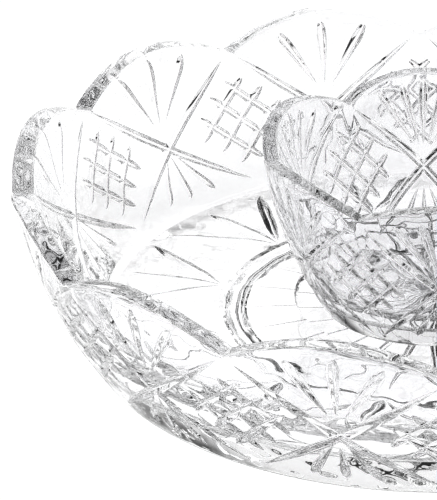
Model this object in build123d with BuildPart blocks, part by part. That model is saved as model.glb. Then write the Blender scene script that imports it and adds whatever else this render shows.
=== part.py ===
"""Cut-crystal punch bowl: a wide shallow outer bowl with twelve arched rim lobes, and a
separate six-lobed inner bowl that stands in a shallow well in the outer bowl's floor.

Frame: +Z up, origin at the centre of the plane that the foot rests on. Sizes are in mm.
"""
from build123d import *
from math import radians, tan
import os

os.makedirs("parts", exist_ok=True)

# ---- outer bowl ----
outer_lobes = 12          # arched lobes round the rim
outer_radius = 165.0      # outside of the rim where two lobes meet
outer_height = 65.0       # resting plane to the rim where two lobes meet
outer_lobe_rise = 11.5    # height of a lobe's middle above that
outer_lobe_flare = 1.6    # how far a lobe's middle stands out beyond that
outer_wall = 8.2          # glass thickness at the rim, measured level
outer_bulge = 3.2         # bow of the wall's outside from its straight chord
heel_inset = 31.0         # from the rim's outside in to the heel, measured level
heel_round = 6.0          # rounding where the wall turns under
underside_gap = 2.0       # resting plane to the underside outside the foot
foot_radius = 82.0        # outside of the foot ring
foot_width = 7.0          # width of the foot ring's resting face
foot_recess = 5.0         # resting plane up to the disc inside the foot ring
floor_height = 20.0       # resting plane to the floor of the bowl
floor_round = 46.0        # inside round between the floor and the wall

# ---- inner bowl ----
inner_lobes = 6           # arched lobes round the rim
inner_radius = 66.0       # outside of the rim where two lobes meet
inner_height = 61.0       # its base to the rim where two lobes meet
inner_lobe_rise = 9.0     # height of a lobe's middle above that
inner_lobe_flare = 2.8    # how far a lobe's middle stands out beyond that
inner_wall = 5.6          # glass thickness at the rim, measured level
inner_bulge = 3.6         # bow of the wall's outside from its straight chord
inner_base_radius = 43.5  # outside of its flat base
inner_base_round = 2.0    # rounding round the base
inner_floor = 8.0         # thickness of its bottom
inner_floor_round = 22.0  # inside round between its floor and its wall
inner_turn = 1.7          # degrees that it stands turned in the outer bowl

# ---- well in the outer bowl's floor that the inner bowl stands in ----
well_clearance = 10.5     # level gap between its edge and the inner bowl's base
well_depth = 1.6          # depth below the floor

# ---- worked-out values ----
well_radius = inner_base_radius + well_clearance
well_floor = floor_height - well_depth
spare = 20.0              # how far the rough shapes run past what is trimmed off


def wall_profile(foot, rim, bulge, lip):
    """Area between the axis and a bowed wall from foot to rim, then straight up to lip."""
    with BuildSketch(Plane.XZ) as profile:
        with BuildLine():
            SagittaArc(foot, rim, -bulge)
            Polyline(rim, lip, (0, lip[1]), (0, foot[1]), foot)
        make_face()
    return profile.sketch


def hollow_profile(foot, rim, bulge, lip, floor, round_radius):
    """Area to hollow out: a flat floor, a round, and a bowed wall that runs up to lip."""
    reach = 2 * rim[0]
    with BuildSketch(Plane.XZ) as profile:
        with BuildLine():
            SagittaArc(foot, rim, -bulge)
            Polyline(rim, lip, (0, lip[1]), (0, foot[1]), foot)
        make_face()
        with Locations((0, floor)):
            Rectangle(reach, reach, align=(Align.CENTER, Align.MAX), mode=Mode.SUBTRACT)
        floor_corner = profile.vertices().group_by(Axis.Y)[0].sort_by(Axis.X)[-1]
        fillet(floor_corner, round_radius)
    return profile.sketch


def space_above_lobe(count, radius, height, rise):
    """Space over one arched lobe that faces +X, as wide at each distance as the lobe is."""
    half_turn = radians(180 / count)
    top = height + rise + spare
    with BuildPart() as space:
        for distance in (radius / 2, radius * 1.5):
            half_width = distance * tan(half_turn)
            with BuildSketch(Plane.YZ.offset(distance)):
                with BuildLine():
                    ends = (-half_width, height), (half_width, height)
                    ThreePointArc(ends[0], (0, height + rise), ends[1])
                    Polyline(ends[1], (half_width, top), (-half_width, top), ends[0])
                make_face()
        loft(ruled=True)
    return space.part


# ---- outer bowl ----
outer_rim = (outer_radius, outer_height)
outer_lip = (outer_radius + outer_lobe_flare, outer_height + outer_lobe_rise)
heel = (outer_radius - heel_inset, underside_gap)
outer_hollow = hollow_profile(
    (heel[0] - outer_wall, heel[1]),
    (outer_rim[0] - outer_wall, outer_rim[1]),
    outer_bulge,
    (outer_lip[0] - outer_wall, outer_lip[1]),
    floor_height,
    floor_round,
)
above_outer_lobe = space_above_lobe(outer_lobes, outer_radius, outer_height, outer_lobe_rise)

with BuildPart() as outer_bowl:
    revolve(wall_profile(heel, outer_rim, outer_bulge, outer_lip), axis=Axis.Z)
    fillet(outer_bowl.edges().group_by(Axis.Z)[0], heel_round)
    with BuildSketch(Plane.XY):
        Circle(foot_radius)
    extrude(amount=underside_gap)
    with BuildSketch(Plane.XY):
        Circle(foot_radius - foot_width)
    extrude(amount=foot_recess, mode=Mode.SUBTRACT)
    revolve(outer_hollow, axis=Axis.Z, mode=Mode.SUBTRACT)
    with BuildSketch(Plane.XY.offset(well_floor)):
        Circle(well_radius)
    extrude(amount=2 * well_depth, mode=Mode.SUBTRACT)
    with PolarLocations(0, outer_lobes, start_angle=180 / outer_lobes):
        add(above_outer_lobe, mode=Mode.SUBTRACT)

outer_bowl.part.label = "outer_bowl"
export_step(outer_bowl.part, "parts/outer_bowl.step")

# ---- inner bowl, standing on the floor of the well ----
inner_rim = (inner_radius, well_floor + inner_height)
inner_lip = (inner_radius + inner_lobe_flare, inner_rim[1] + inner_lobe_rise)
inner_foot = (inner_base_radius, well_floor)
inner_hollow = hollow_profile(
    (inner_foot[0] - inner_wall, inner_foot[1]),
    (inner_rim[0] - inner_wall, inner_rim[1]),
    inner_bulge,
    (inner_lip[0] - inner_wall, inner_lip[1]),
    well_floor + inner_floor,
    inner_floor_round,
)
above_inner_lobe = space_above_lobe(inner_lobes, inner_radius, inner_rim[1], inner_lobe_rise)

with BuildPart() as inner_bowl:
    revolve(wall_profile(inner_foot, inner_rim, inner_bulge, inner_lip), axis=Axis.Z)
    fillet(inner_bowl.edges().group_by(Axis.Z)[0], inner_base_round)
    revolve(inner_hollow, axis=Axis.Z, mode=Mode.SUBTRACT)
    with PolarLocations(0, inner_lobes, start_angle=180 / inner_lobes + inner_turn):
        add(above_inner_lobe, mode=Mode.SUBTRACT)

inner_bowl.part.label = "inner_bowl"
export_step(inner_bowl.part, "parts/inner_bowl.step")
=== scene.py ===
"""Cut-crystal punch bowl: a wide bowl and a loose inner bowl, carved with mitre cuts.

Each bowl is carved as half of one lobe: a closed wedge is turned from the bowl's profile,
every mitre cut is taken out of it with a V-shaped tool, and the half lobe is then mirrored
and repeated round the axis. Sizes are in millimetres and angles in degrees until a mesh is
made, which is in metres.
"""

from math import atan2, cos, degrees, hypot, radians, sin, sqrt, tan

import bmesh
import bpy
import numpy as np
from mathutils import Matrix, Vector


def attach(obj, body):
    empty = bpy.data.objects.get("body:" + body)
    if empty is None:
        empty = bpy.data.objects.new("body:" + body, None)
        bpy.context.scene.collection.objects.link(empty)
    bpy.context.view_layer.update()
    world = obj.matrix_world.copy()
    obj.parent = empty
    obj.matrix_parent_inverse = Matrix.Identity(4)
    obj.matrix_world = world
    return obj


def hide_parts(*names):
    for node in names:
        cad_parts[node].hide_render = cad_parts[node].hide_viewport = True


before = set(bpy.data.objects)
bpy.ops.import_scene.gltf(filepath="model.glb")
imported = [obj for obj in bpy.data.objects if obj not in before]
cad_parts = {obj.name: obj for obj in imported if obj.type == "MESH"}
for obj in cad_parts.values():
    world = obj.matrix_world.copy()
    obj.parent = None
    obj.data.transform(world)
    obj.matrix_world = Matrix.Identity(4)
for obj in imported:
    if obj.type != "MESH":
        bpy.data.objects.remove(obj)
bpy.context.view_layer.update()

MM = 0.001
SCENE = bpy.context.scene


def link(name, mesh):
    """Make an object for a mesh and put it in the scene."""
    piece = bpy.data.objects.new(name, mesh)
    SCENE.collection.objects.link(piece)
    return piece


# ---------------------------------------------------------------- bowl shape

def arc_points(centre, radius, start, end, steps):
    """Points on an arc, from one angle to another."""
    angles = np.radians(np.linspace(start, end, steps + 1))
    return [(centre[0] + radius * cos(a), centre[1] + radius * sin(a)) for a in angles]


class Bowl:
    """One bowl's shape: its profile rows, and how the lobes change them round the axis."""

    def __init__(self, **sizes):
        self.__dict__.update(sizes)
        self.half = 180 / self.lobes
        self.outside = self.wall_circle(0)
        self.inside = self.wall_circle(self.wall)

    def wall_circle(self, inset):
        """Centre and radius of the bowed wall's circle, moved in towards the axis by inset."""
        (r0, z0), (r1, z1) = (self.heel_radius, self.underside), (self.radius, self.height)
        chord = hypot(r1 - r0, z1 - z0)
        radius = chord**2 / (8 * self.bulge) + self.bulge / 2
        back = (radius - self.bulge) / chord
        middle = ((r0 + r1) / 2 - inset, (z0 + z1) / 2)
        return (middle[0] - back * (z1 - z0), middle[1] + back * (r1 - r0)), radius

    def round_in_corner(self, circle, level, radius):
        """Centre of a round between a level face and the wall, and the angle it ends at."""
        (cr, cz), wall_radius = circle
        z = level + radius
        r = cr + sqrt((wall_radius - radius) ** 2 - (z - cz) ** 2)
        return (r, z), degrees(atan2(z - cz, r - cr))

    def wall_at(self, circle, z):
        """Radius of the wall at height z; above the rim's low points it runs on straight."""
        (cr, cz), radius = circle
        low = np.minimum(z, self.height)
        slope = -(self.height - cz) / sqrt(radius**2 - (self.height - cz) ** 2)
        return cr + np.sqrt(radius**2 - (low - cz) ** 2) + slope * (z - low)

    def angle_at(self, circle, z):
        """Angle on the wall's circle of the point at height z."""
        (cr, cz), _ = circle
        return degrees(atan2(z - cz, self.wall_at(circle, z) - cr))

    def lobe(self, angle):
        """0 where two lobes meet and 1 in the middle of a lobe."""
        return np.abs(np.sin(np.radians(angle) * self.lobes / 2)) ** self.lobe_power

    def lift(self, z):
        """Share of the lobes' rise that a row at height z takes: none low on the wall."""
        t = np.clip((z - self.lift_from) / (self.height - self.lift_from), 0, 1)
        return t * t * (3 - 2 * t)

    def place(self, r, z, angle):
        """A profile point (r, z) moved to its place on the lobed bowl, as x, y, z."""
        share = self.lobe(angle) * self.lift(z)
        lifted = z + self.rise * share
        lean = self.wall_at(self.outside, lifted) - self.wall_at(self.outside, z)
        r = r + np.where(share > 0, lean, 0) - self.flat * share
        turn = np.radians(angle)
        return np.stack([r * np.cos(turn), r * np.sin(turn), lifted], -1)

    def on_wall(self, angle, height):
        """The point of the outer wall at a true height, above the rim too."""
        rows = np.linspace(self.lift_from - 30, self.height, 120)
        row = np.interp(height, rows + self.rise * self.lobe(angle) * self.lift(rows), rows)
        share = self.lobe(angle) * self.lift(row)
        r = self.wall_at(self.outside, height) - self.flat * share
        turn = radians(angle)
        return Vector((r * cos(turn), r * sin(turn), height))

    def rows(self):
        """The profile from the axis under the base, out, up, over the rim, in and back."""
        heel, heel_end = self.round_in_corner(self.outside, self.underside, self.heel_round)
        turn_up, turn_end = self.round_in_corner(self.inside, self.floor, self.floor_round)
        top, edge, bevel = self.height, self.radius - self.wall, self.bevel
        rows = list(self.base_rows)
        rows += arc_points(heel, self.heel_round, -90, heel_end, 5)
        start, end = heel_end, self.angle_at(self.outside, top - bevel)
        rows += arc_points(*self.outside, start, end, self.wall_rows)[1:]
        rows += arc_points((self.radius - bevel, top - bevel), bevel, 0, 90, 4)[1:]
        rows += [(self.radius - self.wall / 2, top + self.crown)]
        rows += arc_points((edge + bevel, top - bevel), bevel, 90, 180, 4)[:-1]
        start = self.angle_at(self.inside, top - bevel)
        rows += arc_points(*self.inside, start, turn_end, self.inner_rows)
        rows += arc_points(turn_up, self.floor_round, turn_end, -90, self.round_rows)[1:]
        return rows + list(self.floor_rows)


def wedge(bowl):
    """The closed solid of half a lobe, from the angle 0 to the middle of the lobe."""
    rows = np.array(bowl.rows())
    angles = np.linspace(0, bowl.half, bowl.columns + 1)
    grid = bowl.place(rows[:, :1], rows[:, 1:], angles[None, :]) * MM
    count = len(angles)
    at = np.arange(len(rows) * count).reshape(len(rows), count)
    faces = []
    for k in range(len(rows) - 1):
        for j in range(count - 1):
            faces.append((at[k, j], at[k, j + 1], at[k + 1, j + 1], at[k + 1, j]))
    faces.append(tuple(at[:, 0]))
    faces.append(tuple(at[::-1, -1]))
    mesh = bpy.data.meshes.new("wedge")
    mesh.from_pydata(grid.reshape(-1, 3).tolist(), [], [tuple(map(int, f)) for f in faces])
    bm = bmesh.new()
    bm.from_mesh(mesh)
    bmesh.ops.remove_doubles(bm, verts=bm.verts, dist=1e-7)
    bmesh.ops.dissolve_degenerate(bm, edges=bm.edges, dist=1e-8)
    bmesh.ops.triangulate(bm, faces=bm.faces)
    bm.to_mesh(mesh)
    bm.free()
    return mesh


# ---------------------------------------------------------------- mitre cuts

CLEAR = 2.5               # how far a tool stands out of the glass it cuts
STATION = 2.2             # length of cut between two stations of its tool
SHALLOWEST = 0.25         # depth that the width of a run-out end is worked out from
SHOULDERS = (0.3, 0.68)   # shares of a cut's half width where its section has a row
SHARP = radians(22)       # plain glass that turns by more than this has a sharp edge
SEAM = 2e-6               # metres: how near a seam a face's corners are, to be its cap
WELD = 3e-6               # metres: corners of neighbouring half lobes nearer than this join


def spindle(t):
    """Depth along a cut that is pointed at both ends."""
    return 1 - np.abs(2 * t - 1) ** 3


def blunt(t):
    """Depth along a cut that ends bluntly at both ends."""
    return 1 - np.abs(2 * t - 1) ** 7


def teardrop(t):
    """Depth along a cut that starts as a point and is deepest near its blunt end."""
    return 1.3 * np.abs(t) ** 0.8 * (1 - np.abs(t) ** 9) * np.sign(t)


def groove_section(depth, spread, softness):
    """Half of a groove's section as (across, down): a V with a rounded bottom."""
    slope = tan(radians(spread))
    top = slope * sqrt((CLEAR + depth + softness) ** 2 - softness**2)
    surface = slope * max(depth, SHALLOWEST)
    across = [0, *(share * surface for share in SHOULDERS), top]
    return [(x, depth + softness - sqrt((x / slope) ** 2 + softness**2)) for x in across]


def groove_tool(points, normals, depths, spread, softness):
    """A closed bar with a rounded V below, whose lowest line is at depths under points."""
    points = [Vector(p) for p in points]
    count = len(points)
    verts = []
    for k, (point, normal, depth) in enumerate(zip(points, normals, depths)):
        along = (points[min(k + 1, count - 1)] - points[max(k - 1, 0)]).normalized()
        side = along.cross(normal).normalized()
        section = groove_section(depth, spread, softness)
        section = [(-x, down) for x, down in section[:0:-1]] + section
        verts += [point + side * x - normal * down for x, down in section]
    ring = len(section)
    faces = [tuple(range(ring)), tuple(range(count * ring - 1, (count - 1) * ring - 1, -1))]
    for k in range(count - 1):
        for j in range(ring):
            a, b = k * ring + j, k * ring + (j + 1) % ring
            faces.append((a, b, b + ring, a + ring))
    mesh = bpy.data.meshes.new("tool")
    mesh.from_pydata([tuple(v * MM) for v in verts], [], faces)
    bm = bmesh.new()
    bm.from_mesh(mesh)
    bmesh.ops.recalc_face_normals(bm, faces=bm.faces)
    bmesh.ops.triangulate(bm, faces=bm.faces)
    bm.to_mesh(mesh)
    bm.free()
    return mesh


def cut_line(bowl, place, start, end, width, shape, overrun, bow=0.0):
    """A tool for a cut between two surface coordinates, as wide as width at most.

    The cut bows sideways by bow in the first coordinate at its middle.
    """
    first, last = place(*start)[0], place(*end)[0]
    count = max(8, round((last - first).length / STATION))
    steps = np.linspace(-overrun[0], 1 + overrun[1], count + 1)
    points, normals = [], []
    for t in steps:
        across, along = (a + (b - a) * t for a, b in zip(start, end))
        point, normal = place(across + 4 * bow * t * (1 - t), along)
        points.append(point)
        normals.append(normal)
    slope = tan(radians(bowl.spread))
    deepest = hypot(width / 2 / slope, bowl.softness) - bowl.softness
    depths = np.maximum(deepest * shape(steps), -0.6 * CLEAR)
    return groove_tool(points, normals, depths, bowl.spread, bowl.softness)


def wall_place(bowl):
    """Surface coordinates on the outer wall: angle and true height."""
    def place(angle, height):
        point = bowl.on_wall(angle, height)
        round_step = bowl.on_wall(angle + 0.2, height) - bowl.on_wall(angle - 0.2, height)
        up_step = bowl.on_wall(angle, height + 0.3) - bowl.on_wall(angle, height - 0.3)
        return point, round_step.cross(up_step).normalized()
    return place


def level_place(z):
    """Surface coordinates on a level face that looks down: x and y."""
    def place(x, y):
        return Vector((x, y, z)), Vector((0, 0, -1))
    return place


def polar(radius, angle):
    """x and y of a point given by its radius and angle."""
    return radius * cos(radians(angle)), radius * sin(radians(angle))


def both_ways(bowl, start, end):
    """A wall cut and its mirror image in the middle of the lobe."""
    middle = 2 * bowl.half
    yield start, end, 1
    if (start[0], end[0]) != (bowl.half, bowl.half):
        yield (middle - start[0], start[1]), (middle - end[0], end[1]), -1


def bowl_tools(bowl):
    """Every tool that reaches the half lobe between the angles 0 and bowl.half."""
    tools = []
    wall = wall_place(bowl)
    base = level_place(bowl.underside)
    star = level_place(bowl.star_height)
    h = bowl.half
    for start, end, width, shape, overrun, bow in bowl.wall_cuts:
        for a, b, way in both_ways(bowl, start, end):
            tools.append(cut_line(bowl, wall, a, b, width, shape, overrun, way * bow))
    for start, end, width in bowl.hatch_cuts:
        for way in (1, -1):
            a, b = (way * start[0], start[1]), (way * end[0], end[1])
            tools.append(cut_line(bowl, wall, a, b, width, blunt, (0.01, 0.01)))
    for start, end, width in bowl.base_cuts:
        for way in (1, -1):
            a = polar(start[0], h + way * start[1])
            b = polar(end[0], h + way * end[1])
            tools.append(cut_line(bowl, base, a, b, width, spindle, (0.01, 0.01)))
            if start[1] == end[1] == 0:
                break
    for k in range(bowl.star_rays):
        angle = k * 360 / bowl.star_rays
        if -40 < (angle + 180) % 360 - 180 < 40 + h:
            a, b = polar(-0.2 * bowl.star_reach, angle), polar(bowl.star_reach, angle)
            tools.append(cut_line(bowl, star, a, b, bowl.star_width, spindle, (0, 0.01)))
    return tools


def carve(bowl):
    """The wedge with every tool cut out of it: vertices, faces, and each face's tool or 0."""
    tools = bowl_tools(bowl)
    blank = link("blank", wedge(bowl))
    for number, mesh in enumerate(tools, 1):
        tool = link("tool", mesh)
        for piece in (mesh, blank.data):
            while len(piece.materials) <= len(tools):
                piece.materials.append(None)
        mesh.polygons.foreach_set("material_index", [number] * len(mesh.polygons))
        modifier = blank.modifiers.new("cut", "BOOLEAN")
        modifier.operation = "DIFFERENCE"
        modifier.solver = "MANIFOLD"
        modifier.object = tool
    graph = bpy.context.evaluated_depsgraph_get()
    mesh = bpy.data.meshes.new_from_object(blank.evaluated_get(graph))
    bm = bmesh.new()
    bm.from_mesh(mesh)
    bmesh.ops.triangulate(bm, faces=bm.faces)
    bm.to_mesh(mesh)
    bm.free()
    verts = np.array([v.co for v in mesh.vertices])
    faces = [tuple(p.vertices) for p in mesh.polygons]
    cuts = [p.material_index for p in mesh.polygons]
    for thing in [blank] + [m.object for m in blank.modifiers]:
        old = thing.data
        bpy.data.objects.remove(thing)
        bpy.data.meshes.remove(old)
    return verts, faces, cuts


def drop_seams(bowl, verts, faces, cuts):
    """Leave out the wedge's two flat sides, where the next half lobe joins on."""
    turn = radians(bowl.half)
    off_first = np.abs(verts[:, 1])
    off_second = np.abs(verts[:, 1] * cos(turn) - verts[:, 0] * sin(turn))
    kept = []
    for face, cut in zip(faces, cuts):
        index = list(face)
        if off_first[index].max() > SEAM and off_second[index].max() > SEAM:
            kept.append((face, cut))
    return kept


def round_cut_edges(mesh, share=0.85):
    """Lean the shading of each cut towards the plain glass where the two meet."""
    normals = np.array([corner.vector for corner in mesh.corner_normals])
    vertex_of = np.zeros(len(mesh.loops), np.int32)
    mesh.loops.foreach_get("vertex_index", vertex_of)
    material = np.zeros(len(mesh.polygons), np.int32)
    mesh.polygons.foreach_get("material_index", material)
    totals = np.zeros(len(mesh.polygons), np.int32)
    mesh.polygons.foreach_get("loop_total", totals)
    is_cut = np.repeat(material, totals) > 0
    plain = np.zeros((len(mesh.vertices), 3))
    np.add.at(plain, vertex_of[~is_cut], normals[~is_cut])
    length = np.linalg.norm(plain, axis=1)
    plain[length > 0] /= length[length > 0][:, None]
    lean = is_cut & (length[vertex_of] > 0)
    mixed = normals[lean] * (1 - share) + plain[vertex_of[lean]] * share
    normals[lean] = mixed / np.linalg.norm(mixed, axis=1)[:, None]
    mesh.normals_split_custom_set(normals.tolist())
    mesh.polygons.foreach_set("material_index", np.minimum(material, 1))


def repeat(bowl, name):
    """Carve half a lobe, then mirror and repeat it into the whole bowl's mesh."""
    verts, faces, cuts = carve(bowl)
    kept = drop_seams(bowl, verts, faces, cuts)
    twice = radians(2 * bowl.half)
    mirror = np.array([[cos(twice), sin(twice), 0], [sin(twice), -cos(twice), 0], [0, 0, 1]])
    all_verts, all_faces, all_cuts = [], [], []
    for k in range(bowl.lobes):
        turn = k * twice + radians(bowl.turn)
        spin = np.array([[cos(turn), -sin(turn), 0], [sin(turn), cos(turn), 0], [0, 0, 1]])
        for flip in (False, True):
            base = len(verts) * (2 * k + flip)
            points = verts @ mirror.T if flip else verts
            all_verts.append(points @ spin.T)
            for face, cut in kept:
                order = face[::-1] if flip else face
                all_faces.append([base + v for v in order])
                all_cuts.append(cut)
    mesh = bpy.data.meshes.new(name)
    mesh.from_pydata(np.concatenate(all_verts).tolist(), [], all_faces)
    mesh.polygons.foreach_set("material_index", np.array(all_cuts, np.int32))
    bm = bmesh.new()
    bm.from_mesh(mesh)
    bmesh.ops.remove_doubles(bm, verts=bm.verts, dist=WELD)
    bmesh.ops.dissolve_degenerate(bm, edges=bm.edges, dist=1e-7)
    loose = [v for v in bm.verts if not v.link_faces]
    bmesh.ops.delete(bm, geom=loose, context="VERTS")
    for face in bm.faces:
        face.smooth = True
    for edge in bm.edges:
        pair = edge.link_faces
        if len(pair) == 2:
            first, second = pair[0].material_index, pair[1].material_index
            edge.smooth = first == second and (first > 0 or edge.calc_face_angle(0) < SHARP)
    bm.to_mesh(mesh)
    bm.free()
    round_cut_edges(mesh)
    return link(name, mesh)


# ---------------------------------------------------------------- the two bowls

OUTER_WALL_CUTS = [
    # start (angle, height), end, width, depth shape, overrun at each end, bow
    ((1.2, 61.5), (28.8, 9.0), 4.8, spindle, (0.01, 0.01), -1.2),
    ((15.0, 44.0), (15.0, 71.5), 6.0, teardrop, (0.02, 0.01), 0.0),
    ((13.9, 44.0), (8.2, 68.5), 6.0, teardrop, (0.02, 0.01), 0.0),
    ((15.0, 30.0), (15.0, 9.0), 4.4, teardrop, (0.02, 0.02), 0.0),
    ((14.2, 30.0), (9.4, 9.5), 4.4, teardrop, (0.02, 0.02), 0.0),
]
OUTER_HATCH = [
    ((1.9, 52.8), (-8.0, 30.2), 4.4),
    ((5.0, 48.1), (-5.1, 24.4), 4.4),
    ((7.6, 41.1), (-2.4, 17.7), 4.4),
]
OUTER_BASE_CUTS = [
    # start (radius, angle from the middle of the lobe), end, width
    ((86.5, 0.0), (126.5, 0.0), 5.6),
    ((87.0, 0.8), (127.5, 12.6), 5.6),
]

outer_shape = Bowl(
    lobes=12, radius=165.0, height=65.0, rise=11.5, flat=1.6, lobe_power=0.93, wall=8.2,
    bulge=3.2, heel_radius=134.0, heel_round=6.0, underside=2.0, floor=20.0,
    floor_round=46.0, bevel=1.1, crown=0.25, lift_from=24.0, turn=0.0,
    columns=12, wall_rows=18, inner_rows=6, round_rows=18,
    base_rows=[(0, 5), (30, 5), (60, 5), (73.2, 5), (73.9, 4.7), (74.5, 3.8), (75.2, 2.5),
               (76, 1.2), (77.1, 0.3), (78, 0), (79, 0), (79.9, 0.3), (80.9, 1.2),
               (81.8, 2.1), (82.8, 2.4), (84, 2.2), (85.4, 2), (90, 2), (105, 2), (120, 2)],
    floor_rows=[(80, 20), (64, 20), (54.9, 20), (54.3, 19.8), (54, 19.2), (53.7, 18.7),
                (53.1, 18.4), (35, 18.4), (0, 18.4)],
    spread=42.0, softness=0.15, wall_cuts=OUTER_WALL_CUTS, hatch_cuts=OUTER_HATCH,
    base_cuts=OUTER_BASE_CUTS, star_rays=24, star_height=5.0, star_reach=71,
    star_width=3.6,
)

INNER_WALL_CUTS = [
    ((2.6, 75.6), (57.5, 22.5), 4.2, spindle, (0.01, 0.01), 0.0),
    ((30.0, 57.0), (30.0, 84.0), 4.6, teardrop, (0.02, 0.01), 0.0),
    ((28.4, 57.0), (22.0, 82.5), 4.2, teardrop, (0.02, 0.01), 0.0),
    ((26.5, 58.0), (13.5, 80.0), 4.2, teardrop, (0.02, 0.01), 0.0),
    ((30.0, 42.0), (30.0, 24.5), 3.4, teardrop, (0.02, 0.02), 0.0),
    ((28.0, 42.0), (19.5, 25.0), 3.4, teardrop, (0.02, 0.02), 0.0),
]
INNER_HATCH = [
    ((5.8, 68.4), (-15.7, 44.9), 3.6),
    ((10.7, 62.0), (-10.3, 38.5), 3.6),
    ((16.0, 55.5), (-5.5, 32.5), 3.6),
]
INNER_BASE = 18.45        # stands just clear of the well's floor, which is at 18.4
INNER_STAR = INNER_BASE + 0.6

inner_shape = Bowl(
    lobes=6, radius=66.0, height=79.2, rise=9.0, flat=-1.6, lobe_power=0.84, wall=5.6,
    bulge=3.6, heel_radius=43.5, heel_round=2.0, underside=INNER_BASE, floor=26.4,
    floor_round=22.0, bevel=0.8, crown=0.2, lift_from=46.0, turn=1.7,
    columns=20, wall_rows=18, inner_rows=8, round_rows=14,
    base_rows=[(0, INNER_STAR), (34, INNER_STAR), (34.6, INNER_BASE), (38, INNER_BASE)],
    floor_rows=[(0, 26.4)],
    spread=42.0, softness=0.12, wall_cuts=INNER_WALL_CUTS, hatch_cuts=INNER_HATCH,
    base_cuts=[], star_rays=24, star_height=INNER_STAR, star_reach=32.0,
    star_width=2.4,
)


# ---------------------------------------------------------------- materials

def crystal(name, roughness, ripple, scale):
    """Clear lead crystal; shadow rays pass it, so that it throws no solid shadow."""
    material = bpy.data.materials.new(name)
    material.use_nodes = True
    tree = material.node_tree
    tree.nodes.clear()
    new = tree.nodes.new
    output = new("ShaderNodeOutputMaterial")
    glass = new("ShaderNodeBsdfPrincipled")
    glass.inputs["Base Color"].default_value = (0.985, 0.985, 0.99, 1)
    glass.inputs["Transmission Weight"].default_value = 1
    glass.inputs["IOR"].default_value = 1.54
    coords = new("ShaderNodeTexCoord")
    waves = new("ShaderNodeTexNoise")
    waves.inputs["Scale"].default_value = scale
    waves.inputs["Detail"].default_value = 1
    bump = new("ShaderNodeBump")
    bump.inputs["Strength"].default_value = ripple
    bump.inputs["Distance"].default_value = 0.001
    span = new("ShaderNodeMapRange")
    span.inputs["To Min"].default_value = roughness * 0.5
    span.inputs["To Max"].default_value = roughness * 1.5
    clear = new("ShaderNodeBsdfTransparent")
    path = new("ShaderNodeLightPath")
    mix = new("ShaderNodeMixShader")
    join = tree.links.new
    join(coords.outputs["Object"], waves.inputs["Vector"])
    join(waves.outputs["Fac"], bump.inputs["Height"])
    join(waves.outputs["Fac"], span.inputs["Value"])
    join(span.outputs["Result"], glass.inputs["Roughness"])
    join(bump.outputs["Normal"], glass.inputs["Normal"])
    join(path.outputs["Is Shadow Ray"], mix.inputs["Fac"])
    join(glass.outputs["BSDF"], mix.inputs[1])
    join(clear.outputs["BSDF"], mix.inputs[2])
    join(mix.outputs["Shader"], output.inputs["Surface"])
    return material


polished = crystal("polished_crystal", 0.01, 0.5, 70)
mitre = crystal("mitre_cut_crystal", 0.05, 0.2, 260)

outer = repeat(outer_shape, "outer_bowl_cut")
inner = repeat(inner_shape, "inner_bowl_cut")
for piece, node, slot in ((outer, "outer_bowl", "outer_crystal"),
                          (inner, "inner_bowl", "inner_crystal")):
    piece.data.materials.clear()
    piece.data.materials.append(polished)
    piece.data.materials.append(mitre)
    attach(piece, node)
    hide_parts(node)


# ---------------------------------------------------------------- floor, light and camera

FLOOR_SIZE = 6.0          # half a side, in metres
LEFT_FLOOR = 0.08         # painted shade: glow of the floor far to the left, against 1 round the bowl
FRONT_FLOOR = 0.04        # painted shade: the same, far in front
DIM = 0.0                 # light of the room to the left and in front, against 1 behind
TOP = 0.1                 # the share of it that is left overhead
BOUNCES = 24              # enough for light to leave the cuts again


def fade(tree, socket, low, high, start=0.0, end=1.0):
    """A smooth change from start to end as a socket's value goes from low to high."""
    node = tree.nodes.new("ShaderNodeMapRange")
    node.interpolation_type = "SMOOTHSTEP"
    for name, value in (("From Min", low), ("From Max", high), ("To Min", start), ("To Max", end)):
        node.inputs[name].default_value = value
    tree.links.new(socket, node.inputs["Value"])
    return node.outputs["Result"]


def combine(tree, operation, first, second):
    """One Math node of two sockets or numbers."""
    node = tree.nodes.new("ShaderNodeMath")
    node.operation = operation
    for slot, value in zip(node.inputs, (first, second)):
        if isinstance(value, float):
            slot.default_value = value
        else:
            tree.links.new(value, slot)
    return node.outputs[0]


def axes(tree, coordinates):
    """The x, y and z sockets of one kind of texture coordinates."""
    coords = tree.nodes.new("ShaderNodeTexCoord")
    split = tree.nodes.new("ShaderNodeSeparateXYZ")
    tree.links.new(coords.outputs[coordinates], split.inputs["Vector"])
    return split.outputs


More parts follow.
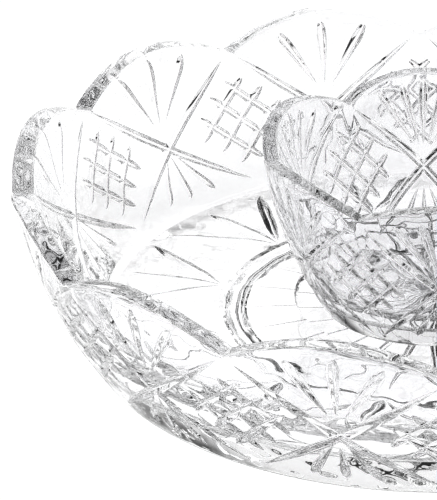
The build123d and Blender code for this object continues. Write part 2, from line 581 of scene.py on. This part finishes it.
def glowing_floor_painted_shade():
    """A white table that glows, with painted shade.

    Its glow is painted darker to the left and in front, which shows only through the glass and in
    what the glass reflects: seen directly, the table is white all over, from every side.
    """
    mesh = bpy.data.meshes.new("floor")
    corners = [(-1, -1), (1, -1), (1, 1), (-1, 1)]
    mesh.from_pydata([(FLOOR_SIZE * x, FLOOR_SIZE * y, 0) for x, y in corners], [], [(0, 1, 2, 3)])
    floor = link("studio_floor", mesh)
    floor.location.z = -0.0002
    material = bpy.data.materials.new("studio_floor")
    material.use_nodes = True
    tree = material.node_tree
    shader = tree.nodes["Principled BSDF"]
    shader.inputs["Base Color"].default_value = (0.05, 0.05, 0.05, 1)
    shader.inputs["Specular IOR Level"].default_value = 0
    shader.inputs["Emission Color"].default_value = (1, 1, 1, 1)
    x, y, _ = axes(tree, "Object")
    # painted shade: the floor's glow drops far to the left and in front
    left = fade(tree, x, -0.55, -0.4, LEFT_FLOOR)
    front = fade(tree, y, -0.45, -0.28, FRONT_FLOOR)
    painted_shade = combine(tree, "MULTIPLY", left, front)
    path = tree.nodes.new("ShaderNodeLightPath")
    # camera rays see the full glow; every other ray sees the painted shade
    seen = combine(tree, "MAXIMUM", painted_shade, path.outputs["Is Camera Ray"])
    tree.links.new(seen, shader.inputs["Emission Strength"])
    mesh.materials.append(material)


def studio_light():
    """A room that is bright behind and to the front right, and dim to the left and overhead."""
    world = bpy.data.worlds.new("studio")
    SCENE.world = world
    world.use_nodes = True
    tree = world.node_tree
    back = tree.nodes["Background"]
    x, y, z = axes(tree, "Generated")
    side = fade(tree, combine(tree, "SUBTRACT", x, y), 0.2, 0.6, DIM)
    behind = fade(tree, y, 0.6, 0.8)
    wall = combine(tree, "MAXIMUM", side, behind)
    room = combine(tree, "MULTIPLY", wall, fade(tree, z, 0.62, 0.8, 1.0, TOP))
    tree.links.new(room, back.inputs["Strength"])
    back.inputs["Color"].default_value = (1, 1, 1, 1)


def camera():
    """A long lens at the reference viewing angle, aimed so that the left half shows."""
    distance, centre = 1.98, Vector((0, 0, 0.065))
    raised, turn = radians(24.75), radians(2.45)
    pan, tilt, roll = radians(2.4252), radians(-0.7057), radians(-0.8537)
    data = bpy.data.cameras.new("camera")
    data.sensor_fit = "VERTICAL"
    data.sensor_height = 36
    data.lens = 363.68
    data.clip_end = 50
    away = Vector((-sin(turn) * cos(raised), -cos(turn) * cos(raised), sin(raised)))
    aim = away.to_track_quat("Z", "Y").to_matrix()
    swing = Matrix.Rotation(pan, 3, "Y") @ Matrix.Rotation(tilt, 3, "X")
    swing = swing @ Matrix.Rotation(-roll, 3, "Z")
    view = link("camera", data)
    view.matrix_world = (aim @ swing).to_4x4()
    view.location = centre + away * distance
    SCENE.camera = view


glowing_floor_painted_shade()
studio_light()
camera()
SCENE.view_settings.view_transform = "Standard"
SCENE.view_settings.gamma = 0.48
SCENE.view_settings.exposure = 0.07
SCENE.cycles.max_bounces = BOUNCES
SCENE.cycles.glossy_bounces = BOUNCES
SCENE.cycles.transmission_bounces = BOUNCES
SCENE.cycles.transparent_max_bounces = BOUNCES
